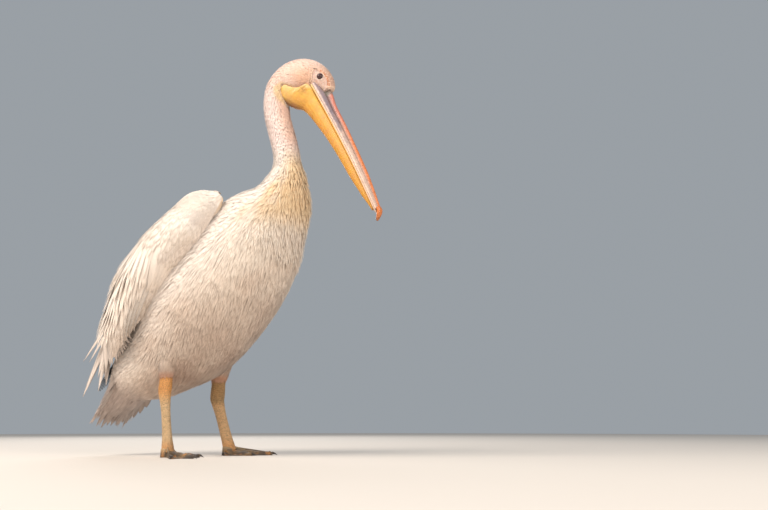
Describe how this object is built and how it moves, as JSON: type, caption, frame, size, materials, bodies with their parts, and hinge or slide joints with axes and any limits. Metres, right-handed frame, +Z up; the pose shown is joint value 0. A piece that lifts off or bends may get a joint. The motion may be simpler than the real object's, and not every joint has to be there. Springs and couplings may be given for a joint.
{
  "type": "pelican",
  "caption": "Great white pelican standing on both webbed feet, wings folded, neck in a curve and its long bill and pouch lowered in front of the breast.",
  "frame": {"origin": "On the floor, under the middle of the bird's box.", "axes": "+X is the bird's heading, from tail to bill; +Y is its left side; +Z is up."},
  "size_m": [0.7234, 0.3584, 0.9528],
  "materials": {
    "feathers": "soft cream white plumage",
    "bill": "satin horn",
    "primaries": "dark flight feathers",
    "nail": "smooth horn",
    "pouch": "thin bare skin",
    "eye": "wet gloss",
    "leg": "small scales",
    "foot": "scaled webs",
    "claw": "horn"
  },
  "bodies": {
    "root": {"bill_nail": "nail", "claw_hind_left": "claw", "claw_hind_right": "claw", "claw_inner_left": "claw", "claw_inner_right": "claw", "claw_middle_left": "claw", "claw_middle_right": "claw", "claw_outer_left": "claw", "claw_outer_right": "claw", "eye_left": "eye", "eye_right": "eye", "foot_left": "foot", "foot_right": "foot", "head": "feathers", "lower_bill": "bill", "neck_lower": "feathers", "neck_middle": "feathers", "neck_upper": "feathers", "pouch": "pouch", "primaries_left": "primaries", "primaries_right": "primaries", "shank_left": "leg", "shank_right": "leg", "tail": "feathers", "tarsus_left": "leg", "tarsus_right": "leg", "thigh_left": "feathers", "thigh_right": "feathers", "trunk": "feathers", "upper_bill": "bill", "wing_left": "feathers", "wing_right": "feathers"}
  },
  "joints": []
}
